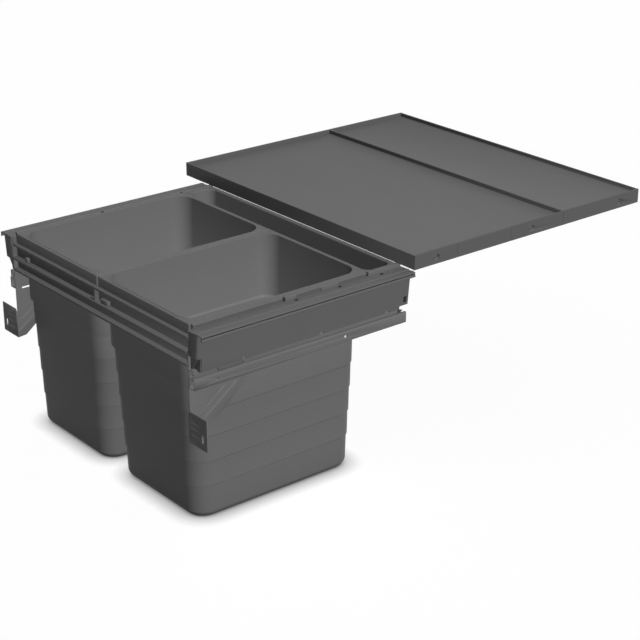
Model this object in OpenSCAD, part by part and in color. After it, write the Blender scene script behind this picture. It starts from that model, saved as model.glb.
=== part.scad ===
// Pull-out waste unit for a kitchen base cabinet: two hanging bins and a storage trough in a
// drawer on full-extension runners, with the cover lid drawn back over the rear of the unit.
// X runs to the right, Y to the rear and Z up. The bins stand on Z = 0.

/* [Cabinet] */
// Clear width between the cabinet's sides, which is also the lid's width
cabinet_w = 562; // [540:1:700]
// Space from a cabinet side to the edge of the drawer's wing
side_gap = 17; // [8:0.5:30]
// How far the door's inner face lies before the wings' front edge
door_gap = 2; // [1:0.1:4]

/* [Drawer] */
// Depth of the drawer from the wings' front edge to its rear face
drawer_d = 373.4; // [350:0.1:460]
// Width of the flat wing on top of each side profile
wing_w = 30.3; // [26:0.1:34]
// Thickness of the wing and of the side profile's legs
profile_t = 1.5; // [1:0.1:2]
// Height of the side profile under the wing's top
wall_h = 58.5; // [54:0.5:76]
// How far the outer leg leans inward from top to bottom
wall_lean = 6; // [0:0.5:8]
// Depth of the side profile's inner leg to the step that carries the frame
inner_h = 14; // [12:0.5:20]
// Travel of the drawer
travel = 350; // [250:5:355]

/* [Front rail] */
// Set-back of the front rail's web from the wings' front edge
web_y = 6.8; // [6:0.1:10]
// Sheet thickness of the front rail
rail_t = 1.5; // [1:0.1:2]
// Depth of the middle flange under the wings' top
flange_mid = 31; // [26:0.5:38]
// Depth of the bottom flange under the wings' top
flange_low = 51; // [44:0.5:70]
// Height of the lip on the front edge of a flange
flange_lip = 3.6; // [2:0.1:6]

/* [Bins] */
// Depth of a bin under the wings' top
bin_h = 303; // [200:1:450]
// Inset of the bin's foot from its collar
bin_taper = 9.9; // [4:0.1:14]
// Wall thickness of a bin
bin_wall = 2.2; // [1.5:0.1:4]
// Floor thickness of a bin
bin_floor = 3; // [2:0.1:6]
// Further inset of the foot on the side toward the other bin
bin_flare = 3.5; // [0:0.1:8]
// Corner radius of a bin
bin_r = 31; // [12:1:50]
// Width of one shallow step in the bin's wall
step_w = 0.6; // [0.2:0.1:1.2]
// Height of the lowest step over the bin's foot
step_first = 51.5; // [40:0.5:80]
// Distance between two steps
step_pitch = 39; // [30:0.5:45]
// Number of steps
step_count = 4; // [1:1:4]

/* [Bag rings] */
// Height of the bag ring's top over the wings' top
ring_rise = 5; // [3:0.1:9]
// Play of the ring's collar at the bin's outer wall
collar_side = 1; // [0.4:0.1:12]
// Play of the ring's collar at the bin's rear wall
collar_end = 0.6; // [0.4:0.1:8]
// Depth of the collar that hangs in the bin
collar_h = 96; // [62:1:110]
// Thickness of the ring's top and of its collar
ring_t = 1.5; // [1.2:0.1:2.5]
// Space between the two bag rings
seam = 1; // [0.6:0.1:4]

/* [Trough] */
// Depth of the storage trough's rim from front to rear
trough_d = 57.8; // [50:0.1:90]
// Height of the trough
trough_h = 48; // [20:1:50]
// Corner radius of the trough's mouth
trough_r = 16.5; // [5:0.5:20]
// Height of the trough's rim over the wings' top
trough_rise = 3; // [0:0.1:6]
// Wall thickness of the trough
trough_wall = 1.6; // [1:0.1:2]

/* [Lid] */
// Depth of the lid
lid_d = 471; // [400:1:560]
// Height of the lid
lid_h = 22; // [20:0.5:34]
// Clearance of the lid over the wings' top
lid_rise = 11.7; // [8:0.1:30]
// How far the lid is drawn back from the wings' front edge
lid_back = 356; // [0:1:400]
// Depth of the front panel up to the cross bar
lid_front_d = 301.4; // [200:0.1:380]
// Width of the lid's rim
lid_rim = 3; // [2:0.1:5]
// Depth of the recess inside the rim
lid_recess = 6.4; // [3:0.1:7]
// Distance from the lid's front edge to its first fixing
fix_first = 42; // [30:1:60]
// Distance between two fixings
fix_pitch = 192; // [96:32:192]
// Bore radius of a fixing bush
fix_bore = 2.2; // [1.5:0.1:2.4]

/* [Runners] */
// Width of the cabinet rail
cab_w = 12; // [11.6:0.1:12.4]
// Height of the cabinet rail
cab_h = 16.4; // [15:0.1:24]
// Length of the cabinet rail
cab_l = 376; // [360:1:460]
// Width of the drawer rail
drw_w = 8.8; // [8.4:0.1:9.6]
// Height of the drawer rail
drw_h = 11.2; // [10:0.1:14]
// Length of the drawer rail
drw_l = 360; // [355:1:440]
// Length of the middle rail
mid_l = 365; // [357:1:440]
// Length of a roller cage
cage_l = 165; // [100:1:175]
// Number of rollers in a cage
roller_count = 4; // [2:1:6]
// Distance between the two screw holes of a cabinet rail
hole_pitch = 224; // [96:32:288]
// Radius of a screw hole in the cabinet rail
hole_r = 2.2; // [1.5:0.1:2.5]

/* [Door brackets] */
// Sheet thickness of a bracket
brk_t = 1.8; // [1.2:0.1:2]
// Depth of a bracket's plate from front to rear
brk_d = 100; // [80:1:120]
// Height of a bracket
brk_h = 134; // [110:1:160]
// Depth of a bracket's upper edge under the wings' top
brk_top = 30.5; // [24:0.5:34]
// Reach of the tab outward from the plate
tab_w = 42.8; // [24:0.1:45]
// Height of the tab
tab_h = 46.8; // [36:0.1:60]
// Length of the slot in the tab
slot_l = 11; // [6:0.5:16]
// Width of the slot in the tab
slot_w = 3; // [2:0.1:4]

/* [Release levers] */
// Length of a release lever from its pin to its tip
lever_l = 40; // [25:1:50]
// Radius of the lever's pin
pin_r = 1.4; // [1:0.1:1.6]
// Radius of the lever's hub
hub_r = 2.8; // [2.6:0.1:3]

/* [Hidden] */

$fn = 48;
// Points in a quarter of a rounded outline
quarter_n = 6;
// Overrun of every cut
cut = 1;
// Clearance between flat faces of pieces that move past each other
gap = 0.6;
// Clearance round a bin and a roller
clear = 0.3;
// Radial clearance of a screw, a bush or a pin in its hole
fit = 0.05;

// Drawer plan, measured from the centre line
half_w = cabinet_w / 2 - side_gap;
wall_in = half_w - wing_w;
// The inner leg steps inward under the frame, against the door bracket
leg_step_w = 2.5;
low_in = wall_in - leg_step_w;
// Width of the raised strip beside the bins, inside the profile and on the wing
strip_in_w = 6.1;
strip_lip_w = 0.5;
strip_in = wall_in - strip_in_w;
// Outer side of a bag ring and of the trough's rim
ring_x1 = strip_in - gap;
ring_x0 = seam / 2;
// Set-back of the bag ring before the web
ring_set = 0.5;
ring_y0 = web_y - ring_set;
rear_t = 2;
rear_y = drawer_d - rear_t;
trough_y0 = rear_y - trough_d;
ring_y1 = trough_y0 - gap;

// Levels, measured from the wings' top
// Level of the seat on which the bins' lips and the trough rest
seat = -10;
frame_t = inner_h + seat;
// Lip of a bin on the seat
lip_t = 1.5;
// Width of the bin's lip at the sides and ends and toward the centre bar
lip_w = 2.3;
lip_mid_w = 2.7;
col_x0 = ring_x0 + lip_mid_w;
col_x1 = ring_x1 - lip_w;
col_y0 = ring_y0 + lip_w;
col_y1 = ring_y1 - lip_w;
// Level at which the bin's taper ends under its straight collar
taper_top = -56;
// Corner radius of lips, rings and rims
edge_r = 3;
// Bevel on a moulded edge
bevel = 1;

y_mid = (lid_back + lid_d - door_gap) / 2;

function corner(x, y, r, turn) =
    [for (i = [0:quarter_n]) [x + r * cos(turn + 90 * i / quarter_n), y + r * sin(turn + 90 * i / quarter_n)]];

// Rounded rectangle, anticlockwise
function outline(x0, y0, x1, y1, r) = concat(
    corner(x1 - r, y0 + r, r, -90),
    corner(x1 - r, y1 - r, r, 0),
    corner(x0 + r, y1 - r, r, 90),
    corner(x0 + r, y0 + r, r, 180));

function level(points, z) = [for (p = points) [p[0], p[1], z]];

// Surface over a stack of rings with the same number of points: closed by a cap at each end, or
// joined from the last ring back to the first
module skin(rings, loop = false) {
    n = len(rings[0]);
    m = len(rings);
    last = loop ? m - 1 : m - 2;
    sides = [
        for (k = [0:last])
            for (i = [0:n - 1])
                let (
                    a = k * n + i,
                    b = k * n + (i + 1) % n,
                    c = ((k + 1) % m) * n + i,
                    d = ((k + 1) % m) * n + (i + 1) % n
                )
                each [[a, c, d], [a, d, b]]
    ];
    caps = loop ? [] : [[for (i = [0:n - 1]) i], [for (i = [n - 1:-1:0]) (m - 1) * n + i]];
    polyhedron(points = [for (r = rings) each r], faces = concat(sides, caps));
}

// Places a piece that is drawn from the wings' front top edge
module placed() {
    translate([0, -y_mid, bin_h]) children();
}

// The left piece is the mirror image of the right one
module sided(side) {
    placed() {
        if (side < 0) {
            mirror([1, 0, 0]) children();
        } else {
            children();
        }
    }
}

module block(x0, x1, y0, y1, z0, z1) {
    translate([x0, y0, z0]) cube([x1 - x0, y1 - y0, z1 - z0]);
}

module area(x0, x1, y0, y1) {
    translate([x0, y0]) square([x1 - x0, y1 - y0]);
}

// Extrudes a section drawn in X and Z from one depth to another
module along_y(y0, y1) {
    translate([0, y1, 0]) rotate([90, 0, 0]) linear_extrude(y1 - y0) children();
}

// Extrudes a section drawn in Y and Z from one side to another
module along_x(x0, x1) {
    translate([x0, 0, 0]) rotate([90, 0, 90]) linear_extrude(x1 - x0) children();
}

// Round bar along X
module bar_x(x0, x1, y, z, r) {
    translate([x0, y, z]) rotate([0, 90, 0]) cylinder(r = r, h = x1 - x0);
}

// Lid
lid_z = lid_rise;
lid_x = cabinet_w / 2;
lid_y1 = lid_back + lid_d;
panel_t = 1.6;
panel_z = lid_z + lid_h - lid_recess - panel_t;
// Ledge of the side rail under the panels
ledge_w = 8;
ledge_t = 1.6;
// Fixing bushes and the blocks that hold them
bush_r = 3.2;
bush_l = 12;
bush_recess_r = 5;
bush_recess = 0.8;
block_w = 16;
fix_wall = 1;
fix_z = panel_z - fix_wall - bush_r;
fix_y = [for (i = [0:2]) lid_back + fix_first + i * fix_pitch];
// Grooves in the rail's outer face
groove = 0.6;
groove_rise = 2.4;
seam_y = [for (share = [0.176, 0.405, 0.64]) lid_back + share * lid_d];
// Ribs under the panels
rib_t = 1.4;
rib_h = 5;
rib_count = 6;

// The bar between the panels stands as high as the rim
lid_bar_t = 4;

module lid_ribs(y0, y1) {
    for (i = [1:rib_count]) {
        x = lid_x * (2 * i / (rib_count + 1) - 1);
        block(x - rib_t / 2, x + rib_t / 2, y0, y1, panel_z - rib_h, panel_z);
    }
}

module lid_front_tray() {
    color([0.34, 0.34, 0.34]) placed() {
        in_x = lid_x - lid_rim;
        bar_y = lid_back + lid_front_d;
        block(-in_x, in_x, lid_back, bar_y, panel_z, panel_z + panel_t);
        block(-in_x, in_x, lid_back, lid_back + lid_rim, lid_z, lid_z + lid_h);
        lid_ribs(lid_back + lid_rim, bar_y - ledge_w);
    }
}

module lid_rear_tray() {
    color([0.34, 0.34, 0.34]) placed() {
        in_x = lid_x - lid_rim;
        bar_y = lid_back + lid_front_d;
        block(-in_x, in_x, bar_y, lid_y1, panel_z, panel_z + panel_t);
        low_x = in_x - ledge_w - gap;
        block(-in_x, in_x, bar_y, bar_y + lid_bar_t, panel_z, lid_z + lid_h);
        block(-low_x, low_x, bar_y, bar_y + lid_bar_t, panel_z - rib_h, panel_z);
        block(-in_x, in_x, lid_y1 - lid_rim, lid_y1, lid_z, lid_z + lid_h);
        // Tongue under the front panel's rear edge
        block(-low_x, low_x, bar_y - ledge_w, bar_y, panel_z - panel_t, panel_z);
        lid_ribs(bar_y, lid_y1 - lid_rim);
    }
}

module lid_rail(side) {
    color([0.3, 0.3, 0.3]) sided(side) difference() {
        in_x = lid_x - lid_rim;
        union() {
            block(in_x, lid_x, lid_back, lid_y1, lid_z, lid_z + lid_h);
            block(in_x - ledge_w, lid_x, lid_back + lid_rim, lid_y1 - lid_rim, panel_z - ledge_t, panel_z);
            for (y = fix_y) {
                block(lid_x - bush_l, lid_x, y - block_w / 2, y + block_w / 2, lid_z, panel_z);
            }
        }
        for (y = fix_y) {
            bar_x(lid_x - bush_l - cut, lid_x + cut, y, fix_z, bush_r + fit);
            bar_x(lid_x - bush_recess, lid_x + cut, y, fix_z, bush_recess_r);
        }
        for (y = seam_y) {
            block(lid_x - groove, lid_x + cut, y - groove / 2, y + groove / 2, lid_z - cut, lid_z + lid_h + cut);
        }
        block(
            lid_x - groove, lid_x + cut,
            lid_back - cut, lid_y1 + cut,
            lid_z + groove_rise, lid_z + groove_rise + groove
        );
    }
}

module lid_bushes() {
    color([0.2, 0.2, 0.2]) for (side = [-1, 1]) sided(side) {
        for (y = fix_y) {
            difference() {
                bar_x(lid_x - bush_l, lid_x - bush_recess, y, fix_z, bush_r);
                bar_x(lid_x - bush_l - cut, lid_x + cut, y, fix_z, fix_bore);
            }
        }
    }
}

// Side profiles
// Set of the outer leg inside the wing's edge
leg_set = 10;
leg_top_x = half_w - leg_set;
// Down-turned lip on the wing's edge
wing_lip_h = 5.3;
// The floor that lies on the drawer rail
floor_z = -56;
cap_t = 2;
// Screw channel under the wing
screw_set = 5.3;
screw_x = wall_in + strip_lip_w + screw_set;
screw_r = 1.4;
screw_head_r = 2.2;
screw_head_h = 1.2;
screw_l = 6;
channel_w = 4.4;
channel_h = 7;
screw_y = [for (share = [0.4754, 0.6843, 0.8878]) share * drawer_d];
// Corner cut out of the profile's lower front and rear
nose_z = -36.8;
nose_y = 16;
tail_z = -44;
tail_y = 4;
// Half-round scoops in the lower edge of the outer leg, the first one at the lever's pin
scoop_r = 4.4;
scoop_y = [for (share = [0.2116, 0.573, 0.9025]) share * drawer_d];

function leg_x(z) = leg_top_x + wall_lean * z / wall_h;

module profile_section() {
    half_t = profile_t / 2;
    area(wall_in, half_w, -profile_t, 0);
    area(half_w - profile_t, half_w, -wing_lip_h, 0);
    area(wall_in, wall_in + profile_t, -inner_h, 0);
    area(low_in, wall_in + profile_t, -inner_h - profile_t, -inner_h);
    area(low_in, low_in + profile_t, floor_z, -inner_h);
    area(screw_x - channel_w / 2, screw_x + channel_w / 2, -channel_h, 0);
    area(low_in, leg_x(floor_z) - half_t, floor_z, floor_z + profile_t);
    polygon([
        [leg_x(-half_t) - profile_t, -half_t], [leg_x(-half_t), -half_t],
        [leg_x(-wall_h), -wall_h], [leg_x(-wall_h) - profile_t, -wall_h]
    ]);
}

module side_wall(side) {
    color([0.33, 0.33, 0.33]) sided(side) difference() {
        along_y(0, drawer_d) profile_section();
        // Room for the cap under the wing's front end
        block(low_in - cut, leg_top_x + cut, -cut, cap_t, -wall_h - cut, -profile_t);
        block(low_in - cut, leg_top_x + cut, -cut, nose_y, -wall_h - cut, nose_z);
        block(low_in - cut, leg_top_x + cut, drawer_d - tail_y, drawer_d + cut, -wall_h - cut, tail_z);
        for (y = scoop_y) {
            bar_x(leg_x(-wall_h) - profile_t - clear, half_w, y, -wall_h, scoop_r);
        }
        for (y = screw_y) {
            translate([screw_x, y, -channel_h - cut]) cylinder(r = screw_r + fit, h = channel_h + 2 * cut);
        }
        for (y = brk_screw_y) {
            bar_x(low_in - cut, low_in + profile_t + cut, y, brk_screw_z, brk_screw_r + fit);
        }
    }
}

module front_cap(side) {
    color([0.27, 0.27, 0.27]) sided(side) along_y(0, cap_t) polygon([
        [wall_in, -profile_t], [leg_x(-profile_t), -profile_t], [leg_x(nose_z), nose_z],
        [low_in, nose_z], [low_in, -inner_h], [wall_in, -inner_h]
    ]);
}

module frame_screws() {
    color([0.15, 0.15, 0.15]) for (side = [-1, 1]) sided(side) {
        for (y = screw_y) {
            translate([screw_x, y, 0]) cylinder(r = screw_head_r, h = screw_head_h);
            translate([screw_x, y, -screw_l]) cylinder(r = screw_r, h = screw_l + screw_head_h);
        }
    }
}

// Strips
strip_h = 5;
notch_l = 8.5;
notch_h = 1.6;
notch_y = [for (share = [0.4178, 0.8088]) share * drawer_d];

module strip(side) {
    color([0.36, 0.36, 0.36]) sided(side) difference() {
        along_y(web_y + rail_t, rear_y) polygon([
            [strip_in, seat], [strip_in, strip_h], [wall_in + strip_lip_w, strip_h],
            [wall_in + strip_lip_w, 0], [wall_in, 0], [wall_in, seat]
        ]);
        for (y = notch_y) {
            block(
                strip_in - cut, wall_in + strip_lip_w + cut,
                y - notch_l / 2, y + notch_l / 2,
                strip_h - notch_h, strip_h + cut
            );
        }
    }
}

// Cross rails and frame
// Front edges of the three flanges, before the wings' front edge
flange_top_y = 0;
flange_mid_y = -door_gap;
low_flange_set = 0.5;
flange_low_y = low_flange_set - door_gap;
low_lip = 2;
front_x = low_in - brk_t;
// Post in the middle of the rail, from the middle flange to the top flange
post_w = 3;
// Slot in the middle flange beside the post
rail_slot_x = -17;
rail_slot_l = 15;
rail_slot_y = 1.2;
rail_slot_w = 3;

module front_rail_section() {
    area(web_y, web_y + rail_t, -flange_low, seat);
    area(flange_top_y, web_y + rail_t, seat - rail_t, seat);
    area(flange_top_y, flange_top_y + rail_t, seat - flange_lip, seat);
    area(flange_mid_y, web_y + rail_t, -flange_mid - rail_t, -flange_mid);
    area(flange_mid_y, flange_mid_y + rail_t, -flange_mid - flange_lip, -flange_mid);
    area(flange_low_y, web_y + rail_t, -flange_low, rail_t - flange_low);
    area(flange_low_y, flange_low_y + rail_t, -flange_low - low_lip, rail_t - flange_low);
}

module front_rail() {
    color([0.25, 0.25, 0.25]) placed() difference() {
        union() {
            block(-post_w / 2, post_w / 2, flange_top_y, web_y, -flange_mid, seat - rail_t);
            along_x(-front_x, front_x) front_rail_section();
        }
        block(
            rail_slot_x, rail_slot_x + rail_slot_l,
            rail_slot_y, rail_slot_y + rail_slot_w, -flange_mid - rail_t - cut, cut - flange_mid
        );
    }
}

// Catch block on the middle flange, to the right of the post, and a small tab near its left end
catch_x = 14;
catch_w = 18;
catch_h = 7;
catch_set = 1.2;
catch_tab_set = 32.4;
catch_tab_w = 7;
catch_tab_x = catch_tab_set - front_x;

module front_catch() {
    color([0.42, 0.42, 0.42]) placed() {
        block(catch_x, catch_x + catch_w, catch_set, web_y, -flange_mid, catch_h - flange_mid);
        block(catch_tab_x, catch_tab_x + catch_tab_w, catch_set, web_y, -flange_mid, catch_h - flange_mid);
    }
}

// The rear rail's foot turns forward under the trough
foot_w = 9;
foot_z = -55;

module rear_rail() {
    color([0.3, 0.3, 0.3]) placed() {
        block(-low_in, low_in, rear_y, drawer_d, foot_z, 0);
        block(-low_in, low_in, drawer_d - foot_w, drawer_d, foot_z, foot_z + profile_t);
    }
}

module carrier_frame() {
    trough_x = ring_x1 + clear;
    color([0.28, 0.28, 0.28]) placed() translate([0, 0, -inner_h]) linear_extrude(frame_t) difference() {
        area(-wall_in, wall_in, web_y + rail_t, rear_y);
        for (m = [0, 1]) {
            mirror([m, 0]) polygon(outline(
                col_x0 - clear, web_y + rail_t - cut, col_x1 + clear, col_y1 + clear, bin_r + clear
            ));
        }
        area(-trough_x, trough_x, trough_y0 + trough_rim_y0 - clear, rear_y - trough_rim_y1 + clear);
    }
}

// Trough
// Rim of the trough at its front, rear and ends
trough_front = 5;
trough_rear = 7.9;
trough_side = 3;
trough_rim_y0 = trough_front - trough_wall;
trough_rim_y1 = trough_rear - trough_wall;
trough_draft = 1.5;

function mouth(grow) = outline(
    trough_side - ring_x1 - grow, trough_y0 + trough_front - grow,
    ring_x1 - trough_side + grow, rear_y - trough_rear + grow, trough_r + grow);

module rear_tray() {
    rim = outline(-ring_x1, trough_y0, ring_x1, rear_y, edge_r);
    color([0.35, 0.35, 0.35]) placed() skin([
        level(mouth(trough_wall - trough_draft), -trough_h),
        level(mouth(trough_wall), seat),
        level(rim, seat),
        level(rim, trough_rise),
        level(mouth(0), trough_rise),
        level(mouth(-trough_draft), trough_wall - trough_h)
    ]);
}

// Bins and bag rings
// Bevel round the bin's foot
foot_bevel_w = 3.5;
foot_bevel_h = 10;
step_t = 1.5;
skirt_t = 1.6;

step_z = [for (i = [0:step_count - 1]) step_first + i * step_pitch - bin_h];
slope = (bin_taper - step_count * step_w) / (bin_h + taper_top);

// The centre side is set in further than the others
mid_share = 1 + bin_flare / bin_taper;

// Plan of a wall surface of the bin: its inset through the taper, and through thickness or bevel
function plan(inset, wall = 0) = outline(
    col_x0 + mid_share * inset + wall, col_y0 + inset + wall,
    col_x1 - inset - wall, col_y1 - inset - wall, bin_r - wall);

// Inset of the tapered wall at a level, with the number of steps passed
function inset_at(z, passed) = bin_taper - slope * (z + bin_h) - passed * step_w;

module bin(side) {
    lip = outline(ring_x0, ring_y0, ring_x1, ring_y1, edge_r);
    steps = [
        for (i = [0:step_count - 1])
            each [
                level(plan(inset_at(step_z[i] - step_t, i)), step_z[i] - step_t),
                level(plan(inset_at(step_z[i], i + 1)), step_z[i])
            ]
    ];
    inner = plan(0, bin_wall);
    color([0.38, 0.38, 0.38]) sided(side) skin(concat(
        [
            level(plan(bin_taper, foot_bevel_w), -bin_h),
            level(plan(inset_at(foot_bevel_h - bin_h, 0)), foot_bevel_h - bin_h)
        ],
        steps,
        [
            level(plan(0), taper_top),
            level(plan(0), seat),
            level(lip, seat),
            level(lip, seat + lip_t),
            level(plan(0), seat + lip_t),
            level(plan(0), ring_rise - ring_t),
            level(inner, ring_rise - ring_t),
            level(inner, taper_top),
            level(plan(bin_taper, bin_wall), foot_bevel_h - bin_h),
            level(plan(bin_taper, foot_bevel_w + bin_wall), bin_floor - bin_h)
        ]
    ));
}

// Mouth of the bag ring: its collar hangs close to the bin's front and centre walls and narrows
// downward at least as much as the bin
mouth_set = bin_wall + clear + ring_t;
collar_low = collar_h - ring_rise + taper_top;
collar_draft = clear + (bin_taper + bin_flare) * collar_low / (bin_h + taper_top - foot_bevel_h);
mouth_r = bin_r - mouth_set;
mouth_x0 = col_x0 + mouth_set;
mouth_y0 = col_y0 + mouth_set;
mouth_x1 = col_x1 - bin_wall - collar_side - ring_t;
mouth_y1 = col_y1 - bin_wall - collar_end - ring_t;

function ring_mouth(grow) =
    outline(mouth_x0 - grow, mouth_y0 - grow, mouth_x1 + grow, mouth_y1 + grow, mouth_r + grow);

module bag_ring(side) {
    rim = outline(ring_x0, ring_y0, ring_x1, ring_y1, edge_r);
    rim_in = outline(ring_x0 + bevel, ring_y0 + bevel, ring_x1 - bevel, ring_y1 - bevel, edge_r - bevel);
    skirt_in = outline(
        col_x0 - clear, ring_y0 + skirt_t, ring_x1 - skirt_t, ring_y1 - skirt_t, edge_r - skirt_t
    );
    color([0.4, 0.4, 0.4]) sided(side) skin([
        level(rim, seat + lip_t),
        level(rim, ring_rise - bevel),
        level(rim_in, ring_rise),
        level(ring_mouth(0), ring_rise),
        level(ring_mouth(-collar_draft), ring_rise - collar_h),
        level(ring_mouth(ring_t - collar_draft), ring_rise - collar_h),
        level(ring_mouth(ring_t), ring_rise - ring_t),
        level(skirt_in, ring_rise - ring_t),
        level(skirt_in, seat + lip_t)
    ], loop = true);
}

// Runners
// Centre line of all rails of one side
rail_x = low_in + gap + cab_w / 2;
cab_t = 1.4;
cab_top = -68;
cab_set = 0.5;
cab_lip = 2.4;
drw_t = 1.2;
drw_lip = 1.4;
drw_lip_t = 1;
drw_top = floor_z;
mid_set = 3;
web_t = 1.8;
mid_t = 1.2;
// Distance of the middle rail's flanges from the lips that hold them
hold = 2;
hold_up = 0.5;
low_z = cab_top - cab_t - hold - mid_t;
top_z = drw_top - drw_h + drw_lip_t + hold_up + mid_t;
// Play of the middle rail's flanges in the channels
flange_play = 1;
low_flange_w = cab_w - 2 * cab_t - flange_play;
top_flange_w = drw_w - 2 * drw_t - flange_play;
// First hole of the cabinet rail, at the standard distance behind the door's plane
hole_first = 37;
hole_z = cab_top - cab_h / 2;

module channel(w, h, t, lip, lip_t) {
    area(-w / 2, w / 2, 0, t);
    for (m = [0, 1]) {
        mirror([m, 0]) {
            area(w / 2 - t, w / 2, 0, h);
            area(w / 2 - t - lip, w / 2, h - lip_t, h);
        }
    }
}

module cabinet_rail(side) {
    color([0.2, 0.2, 0.2]) sided(side) difference() {
        along_y(-cab_set, cab_l - cab_set)
            translate([rail_x, cab_top - cab_h]) channel(cab_w, cab_h, cab_t, cab_lip, cab_t);
        for (i = [0, 1]) {
            bar_x(
                rail_x + cab_w / 2 - cab_t - cut, rail_x + cab_w / 2 + cut,
                hole_first + i * hole_pitch, hole_z, hole_r
            );
        }
    }
}

module drawer_rail(side) {
    color([0.22, 0.22, 0.22]) sided(side) along_y(0, drw_l)
        translate([rail_x, drw_top]) mirror([0, 1]) channel(drw_w, drw_h, drw_t, drw_lip, drw_lip_t);
}

module middle_rail(side) {
    color([0.5, 0.5, 0.5]) sided(side) along_y(mid_set, mid_set + mid_l) translate([rail_x, 0]) {
        area(-low_flange_w / 2, low_flange_w / 2, low_z, low_z + mid_t);
        area(-web_t / 2, web_t / 2, low_z, top_z);
        area(-top_flange_w / 2, top_flange_w / 2, top_z - mid_t, top_z);
    }
}

// A strip with pockets, and a roller in each pocket, between a lower and an upper face
module cage(side, z0, z1, w) {
    r = (z1 - z0) / 2 - clear;
    z = (z0 + z1) / 2;
    strip_t = r / 2;
    pocket = r + clear;
    roller_l = w - 4 * clear - 2 * cage_wall;
    pitch = cage_l / roller_count;
    sided(side) {
        color([0.75, 0.75, 0.72]) difference() {
            block(
                rail_x - w / 2 + clear, rail_x + w / 2 - clear,
                cage_y, cage_y + cage_l, z - strip_t / 2, z + strip_t / 2
            );
            for (i = [0:roller_count - 1]) {
                y = cage_y + (i + share_mid) * pitch;
                block(
                    rail_x - roller_l / 2 - clear, rail_x + roller_l / 2 + clear,
                    y - pocket, y + pocket, z - strip_t, z + strip_t
                );
            }
        }
        color([0.85, 0.85, 0.85]) for (i = [0:roller_count - 1]) {
            bar_x(
                rail_x - roller_l / 2, rail_x + roller_l / 2,
                cage_y + (i + share_mid) * pitch, z, r
            );
        }
    }
}
cage_wall = 0.5;
share_mid = 0.5;
// At rest the cages lie as far back as keeps them between the rails at full travel
cage_set = 9;
cage_y = travel / 4 + cab_set + mid_set + cage_set;

module lower_cage(side) {
    cage(side, cab_top - cab_h + cab_t, low_z, cab_w - 2 * cab_t);
}

module upper_cage(side) {
    cage(side, top_z, drw_top - drw_t, drw_w - 2 * drw_t);
}

// Door brackets
brk_out = low_in;
brk_in = low_in - brk_t;
brk_low = -brk_top - brk_h;
// Rear edge of the plate: shares of its depth and of its height, from the foot upward
brk_edge_shares = [[0.124, 0.01], [0.303, 0.115], [0.585, 0.244], [0.96, 0.5], [1, 0.6], [1, 1]];
// Opening in the plate, seen under the front rail
win_y = 10.6;
win_l = 15.2;
win_h = 3;
win_z = -86.4;
// Pressed ribs on the plate, which run from the bend up to the rear, in shares as above
rib_shares = [[[0.155, 0.254], [0.595, 0.508]], [[0.243, 0.22], [0.785, 0.508]]];
rib_w = 1.6;
rib_rise = 0.6;
// Pressed lines on the tab
line_w = 1;
line_depth = 0.5;
line_shares = [0.3, 0.5, 0.7];
line_set = 5;
line_end = 17;
slot_set = 10;
// Relief cut at the upper end of the bend
relief = 3;
brk_screw_y = [30, 75];
brk_screw_z = -42;
brk_screw_r = 2;
brk_head_r = 3.6;
brk_head_h = 1.8;
brk_screw_l = 7;

function plate_at(share) = [share[0] * brk_d, brk_low + share[1] * brk_h];

module front_bracket(side) {
    tab_top = brk_low + tab_h;
    slot_x = brk_in + tab_w - slot_set;
    slot_z = brk_low + slot_set;
    color([0.3, 0.3, 0.3]) sided(side) difference() {
        union() {
            along_x(brk_in, brk_out) polygon(concat(
                [[0, -brk_top], [0, tab_top], [-door_gap, tab_top], [-door_gap, brk_low]],
                [for (s = brk_edge_shares) plate_at(s)]
            ));
            block(brk_in, brk_in + tab_w, -door_gap, brk_t - door_gap, brk_low, tab_top);
            for (r = rib_shares) {
                p = plate_at(r[0]);
                q = plate_at(r[1]);
                run = norm(q - p);
                translate([brk_out - rib_rise, p[0], p[1]])
                    rotate([atan2(q[1] - p[1], q[0] - p[0]), 0, 0])
                        cube([2 * rib_rise, run, rib_w]);
            }
        }
        block(brk_in - cut, brk_out + cut, win_y, win_y + win_l, win_z, win_z + win_h);
        block(brk_in - cut, brk_out + cut, -door_gap - cut, 0, tab_top - relief, tab_top + cut);
        block(slot_x - slot_w / 2, slot_x + slot_w / 2, -door_gap - cut, cut, slot_z, slot_z + slot_l);
        for (s = line_shares) {
            z = brk_low + s * tab_h;
            block(
                brk_out + line_set, brk_in + tab_w - line_end,
                -door_gap - cut, line_depth - door_gap, z, z + line_w
            );
        }
        for (y = brk_screw_y) {
            bar_x(brk_in - cut, brk_out + cut, y, brk_screw_z, brk_screw_r + fit);
        }
    }
}

module bracket_screws() {
    color([0.6, 0.6, 0.6]) for (side = [-1, 1]) sided(side) {
        for (y = brk_screw_y) {
            bar_x(brk_in - brk_head_h, brk_in, y, brk_screw_z, brk_head_r);
            bar_x(brk_in - brk_head_h, brk_in + brk_screw_l, y, brk_screw_z, brk_screw_r);
        }
    }
}

// Release levers
lever_w = 3.4;
lever_h = 5;
lever_drop = 0.6;
lever_top = -wall_h - lever_drop;
lever_y = scoop_y[0];
// The pin hangs from the side profile's floor, outside the drawer rail
lever_x = rail_x + drw_w / 2 + hub_r + gap;

module release_lever(side) {
    color([0.25, 0.25, 0.25]) sided(side) {
        translate([0, 0, lever_top - lever_h]) difference() {
            union() {
                translate([lever_x, lever_y, 0]) cylinder(r = hub_r, h = lever_h);
                translate([lever_x - lever_w / 2, lever_y - lever_l, 0]) cube([lever_w, lever_l, lever_h]);
                translate([lever_x, lever_y - lever_l, 0]) cylinder(r = lever_w / 2, h = lever_h);
            }
            translate([lever_x, lever_y, -cut]) cylinder(r = pin_r + fit, h = lever_h + 2 * cut);
        }
    }
}

// Each pin hangs from the floor of a side profile and ends in a head under its lever
pin_head_r = 2.4;
pin_head_h = 1;

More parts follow.
